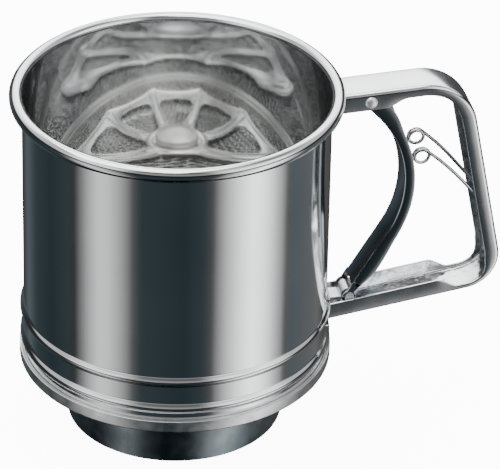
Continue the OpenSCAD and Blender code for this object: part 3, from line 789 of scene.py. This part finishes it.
def make_pivot_rivet():
    """A rivet across the handle with a low domed head on each side."""
    head_r, rise, edge = PIN_R + 0.8, 1.2, 0.15
    face = HANDLE_WIDTH / 2
    profile = [(0, -face - 0.05), (PIN_R, -face - 0.05), (PIN_R, face), (head_r - edge, face),
               (head_r, face + edge)]
    profile += [(head_r * math.cos(a), face + edge + (rise - edge) * math.sin(a))
                for a in [math.radians(9 * i) for i in range(1, 10)]]
    profile.append((0, face + rise))
    half = dome(profile, 48)
    place = Matrix.Translation((PIVOT[0], 0, PIVOT[1]))
    parts = [turned(half, place @ Matrix.Rotation(-side * math.pi / 2, 4, "X")) for side in (-1, 1)]
    return new_object("pivot_rivet", *merged(*parts), sharp=50)


def spring_line():
    """The spring's wire: grip, coil, across the trigger's web, coil, grip."""
    path = trigger_line()
    run = run_length(path)
    depths = trigger_depths(run)
    normals = right_normals(path)
    coil_low, coil_high = box_of("trigger_spring")
    coil_outer = COIL_R + SPRING_WIRE_R
    # The coil's top is the spring's highest point; its centre lies just off the flange's edge there
    centre_z = coil_high.z - coil_outer - COIL_SKEW
    heights = [p[1] + n.y * (d + coil_outer) for p, n, d in zip(path, normals, depths)]
    at = min(range(len(path)), key=lambda i: abs(heights[i] - centre_z))
    centre = Vector(path[at]) + normals[at] * (depths[at] + coil_outer + 0.2)
    centre.y = centre_z
    bar_at = min(range(len(path)), key=lambda i: abs(path[i][1] - (centre_z - 5.5)))
    bar = Vector(path[bar_at]) + normals[bar_at] * (TRIGGER_SHEET + SPRING_WIRE_R + 0.1)
    leg_end = Vector((coil_high.x - SPRING_WIRE_R, coil_low.z + SPRING_WIRE_R + LEG_SKEW))
    leg, inner = leg_end - centre, bar - centre
    start = math.atan2(leg.y, leg.x) + math.acos(COIL_R / leg.length)
    finish = math.atan2(inner.y, inner.x) + TAU - math.acos(COIL_R / inner.length)
    sweep = finish - start + TAU * COIL_FULL_TURNS
    inner_y = TRIGGER_WIDTH / 2 - TRIGGER_SHEET - SPRING_WIRE_R - 0.2
    outer_y = inner_y + sweep / TAU * 2 * SPRING_WIRE_R * 1.06
    end_y = HANDLE_WIDTH / 2 - HANDLE_SHEET - SPRING_WIRE_R - 0.2
    half = []
    top = centre + COIL_R * Vector((math.cos(start), math.sin(start)))
    across = unit(Vector((leg.y, -leg.x)))
    for i in range(24):
        t = i / 24
        p = leg_end + (top - leg_end) * t - across * (1.3 * math.sin(math.pi * t) * t)
        skew = LEG_SKEW + (COIL_SKEW - LEG_SKEW) * t
        half.append((p.x, end_y + (outer_y - end_y) * t, p.y, skew))
    turns = 72
    for i in range(turns + 1):
        t = i / turns
        a = start + sweep * t
        half.append((centre.x + COIL_R * math.cos(a), outer_y + (inner_y - outer_y) * t,
                     centre.y + COIL_R * math.sin(a), COIL_SKEW))
    last = Vector((half[-1][0], half[-1][2]))
    bend_r = 1.0
    for i in range(1, 8):
        p = last + (bar - last) * (i / 8)
        half.append((p.x, inner_y, p.y, COIL_SKEW * (1 - i / 8)))
    for i in range(5):
        a = math.radians(90 * i / 4)
        half.append((bar.x, inner_y - bend_r + bend_r * math.cos(a),
                     bar.y + bend_r * (1 - math.sin(a)), 0))
    near = [(x, -y, z - skew) for x, y, z, skew in half]
    far = [(x, y, z + skew) for x, y, z, skew in reversed(half)]
    return near + far, leg_end, centre


def make_spring():
    path, leg_end, centre = spring_line()
    return new_object("spring_wire", *tube(path, SPRING_WIRE_R, 14), sharp=70), leg_end, centre


# ---------------------------------------------------------------- shader nodes

def put(tree, socket, value):
    """Sets an input socket to a number or a tuple, or links another node's output to it."""
    if isinstance(value, (int, float, tuple)):
        socket.default_value = value
    else:
        tree.links.new(value, socket)


def math_node(tree, operation, *values):
    node = tree.nodes.new("ShaderNodeMath")
    node.operation = operation
    for socket, value in zip(node.inputs, values):
        put(tree, socket, value)
    return node.outputs[0]


def vector_node(tree, operation, *values):
    node = tree.nodes.new("ShaderNodeVectorMath")
    node.operation = operation
    for socket, value in zip(node.inputs, values):
        put(tree, socket, value)
    return node.outputs["Value" if operation == "LENGTH" else "Vector"]


def noise_node(tree, scale, detail, place):
    node = tree.nodes.new("ShaderNodeTexNoise")
    node.inputs["Scale"].default_value = scale
    node.inputs["Detail"].default_value = detail
    put(tree, node.inputs["Vector"], place)
    return node.outputs["Fac"]


def range_node(tree, value, from_range, to_range):
    node = tree.nodes.new("ShaderNodeMapRange")
    node.inputs["From Min"].default_value, node.inputs["From Max"].default_value = from_range
    node.inputs["To Min"].default_value, node.inputs["To Max"].default_value = to_range
    put(tree, node.inputs["Value"], value)
    return node.outputs["Result"]


def ramp_node(tree, value, stops, mode="LINEAR"):
    """A colour ramp from (place, value or colour) rows."""
    ramp = tree.nodes.new("ShaderNodeValToRGB")
    ramp.color_ramp.interpolation = mode
    elements = ramp.color_ramp.elements
    while len(elements) > 1:
        elements.remove(elements[-1])
    for i, (place, tone) in enumerate(stops):
        element = elements[0] if i == 0 else elements.new(place)
        element.position = place
        element.color = (*tone, 1) if isinstance(tone, tuple) else (tone, tone, tone, 1)
    put(tree, ramp.inputs["Fac"], value)
    return ramp.outputs["Color"]


def mix_node(tree, data_type, factor, a, b):
    """Mixes two colours ("RGBA") or two numbers ("FLOAT")."""
    node = tree.nodes.new("ShaderNodeMix")
    node.data_type = data_type
    for name, value in (("Factor", factor), ("A", a), ("B", b)):
        put(tree, node.inputs[name], value)
    return node.outputs["Result"]


def bump_node(tree, height, strength, distance):
    node = tree.nodes.new("ShaderNodeBump")
    node.inputs["Distance"].default_value = distance
    put(tree, node.inputs["Strength"], strength)
    put(tree, node.inputs["Height"], height)
    return node


def object_place(tree):
    return tree.nodes.new("ShaderNodeTexCoord").outputs["Object"]


def split_place(tree, place):
    """The X, Y and Z outputs of a place."""
    split = tree.nodes.new("ShaderNodeSeparateXYZ")
    tree.links.new(place, split.inputs["Vector"])
    return split.outputs["X"], split.outputs["Y"], split.outputs["Z"]


def within_radius(tree, radius):
    """1 nearer to the Z axis than a radius in millimetres, and 0 beyond it."""
    flat = vector_node(tree, "MULTIPLY", object_place(tree), (1, 1, 0))
    return math_node(tree, "LESS_THAN", vector_node(tree, "LENGTH", flat), radius * MM)


# ---------------------------------------------------------------- materials

# How often the fine lines repeat, by turn round Z and by height, for each direction of the grain
GRAIN_SCALE = {"round": (2.0, 3200.0, 0), "up": (90.0, 12.0, 0)}
PLAIN_GRAIN_SCALE = 900.0
DENT_SCALE = 130.0


def grain_height(tree, place, grain):
    """Fine lines round or along the Z axis, or a fine even grain."""
    if not grain:
        return noise_node(tree, PLAIN_GRAIN_SCALE, 3, place)
    x, y, z = split_place(tree, place)
    join = tree.nodes.new("ShaderNodeCombineXYZ")
    tree.links.new(math_node(tree, "ARCTAN2", y, x), join.inputs["X"])
    tree.links.new(z, join.inputs["Y"])
    stretch = vector_node(tree, "MULTIPLY", join.outputs[0], GRAIN_SCALE[grain])
    return noise_node(tree, 1.0, 3, stretch)


def inside_channel(tree, place, top):
    """1 between the handle's flanges under a height in millimetres, and 0 elsewhere."""
    _, y, z = split_place(tree, place)
    half_width = (HANDLE_WIDTH / 2 - 0.2) * MM
    between = math_node(tree, "LESS_THAN", math_node(tree, "ABSOLUTE", y), half_width)
    return math_node(tree, "MULTIPLY", between, math_node(tree, "LESS_THAN", z, top * MM))


def steel(name, colour, roughness, spread=0.04, grain=None, grain_depth=0.02, smudge=40.0,
          metallic=1.0, waviness=0.0, waviness_below=0.0):
    """Bright steel whose gloss, tint and surface vary as handled sheet does.

    grain is "round" for lines round the Z axis, "up" for lines along Z, or None. waviness is how
    strongly the sheet's unevenness bends its reflections; waviness_below keeps it inside the
    handle's channel, under that height in millimetres.
    """
    material = bpy.data.materials.new(name)
    material.use_nodes = True
    tree = material.node_tree
    shader = tree.nodes["Principled BSDF"]
    shader.inputs["Metallic"].default_value = metallic
    shader.inputs["IOR"].default_value = 1.5
    place = object_place(tree)
    cloud = noise_node(tree, smudge, 5, place)
    rough = range_node(tree, cloud, (0.3, 0.7), (max(roughness - spread, 0.01), roughness + spread))
    tree.links.new(rough, shader.inputs["Roughness"])
    bump = bump_node(tree, grain_height(tree, place, grain), grain_depth, 0.0002)
    if waviness:
        strength = waviness
        if waviness_below:
            inside = inside_channel(tree, place, waviness_below)
            strength = math_node(tree, "MULTIPLY", inside, waviness)
        wave = bump_node(tree, noise_node(tree, DENT_SCALE, 2, place), strength, 0.001)
        tree.links.new(wave.outputs["Normal"], bump.inputs["Normal"])
    tree.links.new(bump.outputs["Normal"], shader.inputs["Normal"])
    low = tuple(c * 0.93 for c in colour)
    tint = ramp_node(tree, cloud, [(0.35, low), (0.65, tuple(colour))])
    tree.links.new(tint, shader.inputs["Base Color"])
    return material


def cup_steel():
    """Mirror-polished sheet, smoother inside than out."""
    material = steel("cup_polish", (0.76, 0.77, 0.78), 0.10, 0.02, "up", 0.010, 30.0)
    tree = material.node_tree
    shader = tree.nodes["Principled BSDF"]
    inside_roughness, inside_metallic = 0.05, 0.98
    inside = within_radius(tree, BODY_R - SHEET / 2)
    outside = shader.inputs["Roughness"].links[0].from_socket
    rough = mix_node(tree, "FLOAT", inside, outside, inside_roughness)
    tree.links.new(rough, shader.inputs["Roughness"])
    metal = range_node(tree, inside, (0, 1), (1.0, inside_metallic))
    tree.links.new(metal, shader.inputs["Metallic"])
    return material


def base_steel():
    """Satin sheet at the seam; the collar and plate inside it get painted shade, a dark blotchy
    tint for the shadow they lie in.
    """
    material = steel("base_polish", (0.74, 0.745, 0.75), 0.36, 0.10, "round", 0.06, 220.0)
    tree = material.node_tree
    shader = tree.nodes["Principled BSDF"]
    seam_tint = shader.inputs["Base Color"].links[0].from_socket
    cloud = noise_node(tree, 55.0, 3, object_place(tree))
    # Painted shade: the collar and plate lie in shadow under the seam and the screen, so their
    # colour is darkened here, in random blotches.
    dark = ramp_node(tree, cloud, [(0.35, (0.10, 0.125, 0.14)), (0.7, (0.26, 0.29, 0.31))])
    tint = mix_node(tree, "RGBA", within_radius(tree, BODY_R - 1.0), seam_tint, dark)
    tree.links.new(tint, shader.inputs["Base Color"])
    return material


# ---------------------------------------------------------------- camera, light and floor

CAMERA_AZIMUTH = -12.5
CAMERA_ELEVATION = 31.0
CAMERA_DISTANCE = 1.370
CAMERA_ROLL = 1.18
CAMERA_LENS = 301.7
AIM_RIGHT = 24.21
AIM_Z = BODY_TOP - 54.1

# The studio's screens: compass degrees from its front, and how bright each is there
BLACK_SCREEN = (0.028, 0.044, 0.050)
DIM_SCREEN = (0.045, 0.062, 0.070)
SIDE_SCREEN = (0.11, 0.135, 0.15)
STUDIO_SCREENS = [
    (-180, 0.05), (-160, 0.06), (-145, SIDE_SCREEN), (-128, DIM_SCREEN), (-106, BLACK_SCREEN),
    (-88, DIM_SCREEN), (-80, 0.05), (-72, 0.33), (-58, 1.15), (-51, 1.05), (-38, 0.42),
    (-31, 0.12), (-25, DIM_SCREEN), (8, BLACK_SCREEN), (22, DIM_SCREEN), (29, 0.10), (36, 0.5),
    (44, 1.15), (61, 2.9), (70, 2.3), (82, 0.85), (92, 0.13), (101, SIDE_SCREEN), (138, 0.17),
    (150, 0.10), (180, 0.05),
]
# The ceiling: height of a direction above the horizon, 0 to 1, and how bright it is there
STUDIO_CEILING = [(0.0, 0.05), (0.25, 0.08), (0.37, 2.4), (0.62, 2.6), (0.8, 1.1), (1.0, 0.8)]
# How bright the ceiling is by compass degrees from the front, as two soft boxes and the far wall
CEILING_BOXES = [
    (-180, 1.7), (-150, 1.2), (-120, 0.35), (-90, 0.3), (-66, 0.75), (-48, 0.75), (-26, 0.16),
    (22, 0.14), (46, 0.9), (74, 1.0), (98, 0.3), (130, 0.35), (155, 1.5), (180, 1.7),
]
# Over these heights of a direction, screens give way to ceiling, and the ground under them to black
HORIZON_BLEND = (-0.15, 0.15)
GROUND_FADE = (-0.9, -0.72)
GROUND_LIGHT = 0.02

FLOOR_REACH = 12000.0
FLOOR_GLOW = 12.0


def make_camera():
    azimuth, elevation = math.radians(CAMERA_AZIMUTH), math.radians(CAMERA_ELEVATION)
    back = Vector((math.sin(azimuth) * math.cos(elevation),
                   -math.cos(azimuth) * math.cos(elevation), math.sin(elevation)))
    right = Vector((math.cos(azimuth), math.sin(azimuth), 0))
    aim = right * AIM_RIGHT * MM + Vector((0, 0, AIM_Z * MM))
    data = bpy.data.cameras.new("camera")
    data.lens = CAMERA_LENS
    data.sensor_width = 36
    data.clip_start = 0.05
    camera = bpy.data.objects.new("camera", data)
    bpy.context.collection.objects.link(camera)
    turn = back.to_track_quat("Z", "Y").to_matrix().to_4x4()
    roll = Matrix.Rotation(math.radians(CAMERA_ROLL), 4, "Z")
    camera.matrix_world = Matrix.Translation(aim + back * CAMERA_DISTANCE) @ turn @ roll
    bpy.context.scene.camera = camera


def by_compass(rows):
    """The rows of a table in compass degrees, placed from 0 to 1."""
    return [((degrees + 180) / 360, value) for degrees, value in rows]


def make_world():
    """A studio round the object: dark and light screens by compass direction below the horizon,
    and a bright ceiling over them."""
    world = bpy.data.worlds.new("studio")
    bpy.context.scene.world = world
    world.use_nodes = True
    tree = world.node_tree
    background = tree.nodes["Background"]
    x, y, z = split_place(tree, tree.nodes.new("ShaderNodeTexCoord").outputs["Generated"])
    # Compass direction as 0 to 1, with 0.5 towards the front of the studio, where the camera is
    front = math.radians(CAMERA_AZIMUTH - 90)
    turn = math_node(tree, "ARCTAN2", y, x)
    share = math_node(tree, "MULTIPLY_ADD", turn, 1 / TAU, 0.5 - front / TAU)
    compass = math_node(tree, "FRACT", share)
    screens = ramp_node(tree, compass, by_compass(STUDIO_SCREENS))
    height = ramp_node(tree, z, STUDIO_CEILING, "EASE")
    boxes = ramp_node(tree, compass, by_compass(CEILING_BOXES), "EASE")
    ceiling = vector_node(tree, "MULTIPLY", height, boxes)
    above = range_node(tree, z, HORIZON_BLEND, (0, 1))
    tree.links.new(mix_node(tree, "RGBA", above, screens, ceiling), background.inputs["Color"])
    strength = range_node(tree, z, GROUND_FADE, (GROUND_LIGHT, 1))
    tree.links.new(strength, background.inputs["Strength"])


def make_light(name, place, aim, size, power):
    data = bpy.data.lights.new(name, "AREA")
    data.shape = "RECTANGLE"
    data.size, data.size_y = size
    data.energy = power
    light = bpy.data.objects.new(name, data)
    bpy.context.collection.objects.link(light)
    light.location = place
    light.rotation_euler = (Vector(place) - Vector(aim)).to_track_quat("Z", "Y").to_euler()


def make_floor():
    """A pale sweep under the object. It lights the object but isn't mirrored in it, so that the
    polished sheet shows the studio's screens."""
    cells = 8
    marks = [FLOOR_REACH * (2 * i / cells - 1) for i in range(cells + 1)]
    verts = [(x, y, 0) for x in marks for y in marks]
    starts = [i * (cells + 1) + j for i in range(cells) for j in range(cells)]
    floor = new_object("floor", verts, [(a, a + cells + 1, a + cells + 2, a + 1) for a in starts])
    material = bpy.data.materials.new("floor_paper")
    material.use_nodes = True
    tree = material.node_tree
    shader = tree.nodes["Principled BSDF"]
    shader.inputs["Roughness"].default_value = 0.9
    noise = tree.nodes.new("ShaderNodeTexNoise")
    noise.inputs["Scale"].default_value = 3
    tone = ramp_node(tree, noise.outputs["Fac"], [(0.3, 0.93), (0.7, 0.95)])
    tree.links.new(tone, shader.inputs["Base Color"])
    tree.links.new(tone, shader.inputs["Emission Color"])
    shader.inputs["Emission Strength"].default_value = FLOOR_GLOW
    floor.data.materials.append(material)
    floor.visible_glossy = False
    # The ground inside the foot gets no light, so a dark card lies on it there
    reach = FOOT_R - 2 * SHEET - 0.4
    shade = new_object("foot_shade", *dome([(0, 0.1), (reach, 0.1), (reach, 0.25), (0, 0.25)], 96))
    shade.data.materials.append(steel("shade_card", (0.05, 0.05, 0.05), 0.85, 0.04, metallic=0.0))


# ---------------------------------------------------------------- assembly

def finish_piece(obj, body, slot, material, *nodes):
    obj.data.materials.clear()
    obj.data.materials.append(material)
    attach(obj, body)
    if nodes:
        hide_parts(*nodes)


make_camera()
make_world()
make_floor()
make_light("ceiling_box", (-0.3, 0.2, 1.6), (0, 0, 0.08), (1.4, 1.4), 26)

polish = cup_steel()
base_finish = base_steel()
screen_finish = steel("screen_satin", (0.62, 0.61, 0.59), 0.32, 0.08, "round", 0.05, 120.0)
cloth_finish = steel("wire_steel", (0.66, 0.65, 0.62), 0.26, 0.06, grain_depth=0.02, smudge=300.0)
wheel_finish = steel("wheel_bright", (0.77, 0.76, 0.73), 0.20, 0.04, grain_depth=0.03,
                     smudge=150.0, metallic=0.97)
cap_finish = steel("cap_satin", (0.84, 0.83, 0.80), 0.45, 0.05, grain_depth=0.03,
                   smudge=150.0, metallic=0.8)
handle_finish = steel("handle_polish", (0.80, 0.81, 0.83), 0.15, 0.05, grain_depth=0.02,
                      smudge=90.0, waviness=1.0, waviness_below=75.0)
# Painted shade: the trigger's steel is tinted far darker than the handle's, standing for the dark
# studio that its polished faces reflect.
trigger_finish = steel("trigger_polish", (0.36, 0.39, 0.42), 0.06, 0.02, grain_depth=0.010,
                       smudge=70.0, waviness=0.06)
rivet_finish = steel("rivet_bright", (0.86, 0.86, 0.86), 0.42, 0.05, grain_depth=0.02,
                     smudge=400.0, metallic=0.97)
spring_finish = steel("spring_drawn", (0.74, 0.74, 0.75), 0.16, 0.05, grain_depth=0.02,
                      smudge=500.0)
works_finish = steel("works_plain", (0.62, 0.63, 0.64), 0.34, 0.08, grain_depth=0.04, smudge=150.0)
brass_finish = steel("bush_brass", (0.80, 0.62, 0.32), 0.30, 0.06, "round", 0.05, 300.0)

finish_piece(make_cup(), "root", "cup_steel", polish, "body_shell")
finish_piece(make_base(), "root", "base_steel", base_finish, "base_funnel")
finish_piece(make_screen_frame(), "root", "screen_steel", screen_finish, "screen_frame")
finish_piece(make_clamp_ring(), "root", "screen_steel", screen_finish, "screen_clamp_ring")
finish_piece(make_wire_cloth(), "root", "wire_cloth", cloth_finish, "screen_mesh")
finish_piece(make_eyelet(), "root", "screen_steel", screen_finish, "screen_eyelet")
finish_piece(make_handle(), "root", "handle_steel", handle_finish, "handle")
finish_piece(make_pivot_rivet(), "root", "fastener_steel", rivet_finish, "trigger_pin")
finish_piece(make_trigger(), "trigger", "trigger_steel", trigger_finish, "trigger")
finish_piece(make_wheel(), "agitator", "agitator_steel", wheel_finish, "agitator_wheel")
finish_piece(make_hub_cap(), "agitator", "agitator_steel", cap_finish, "hub_cap")

spring, grip_end, coil_centre = make_spring()
spring.data.materials.append(spring_finish)
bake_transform(spring)
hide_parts("trigger_spring")

CAD_FINISHES = {
    "eyelet_washer": screen_finish,
    "bridge_bar": works_finish,
    "shaft_bush": brass_finish,
    "link_pin": rivet_finish,
    "pull_rod": works_finish,
    "agitator_shaft": works_finish,
    "crank_lever": works_finish,
    "crank_pin": rivet_finish,
    "thrust_washer": brass_finish,
    "retaining_clip": spring_finish,
}
for node, finish in CAD_FINISHES.items():
    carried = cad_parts[node]
    carried.data.materials.clear()
    carried.data.materials.append(finish)
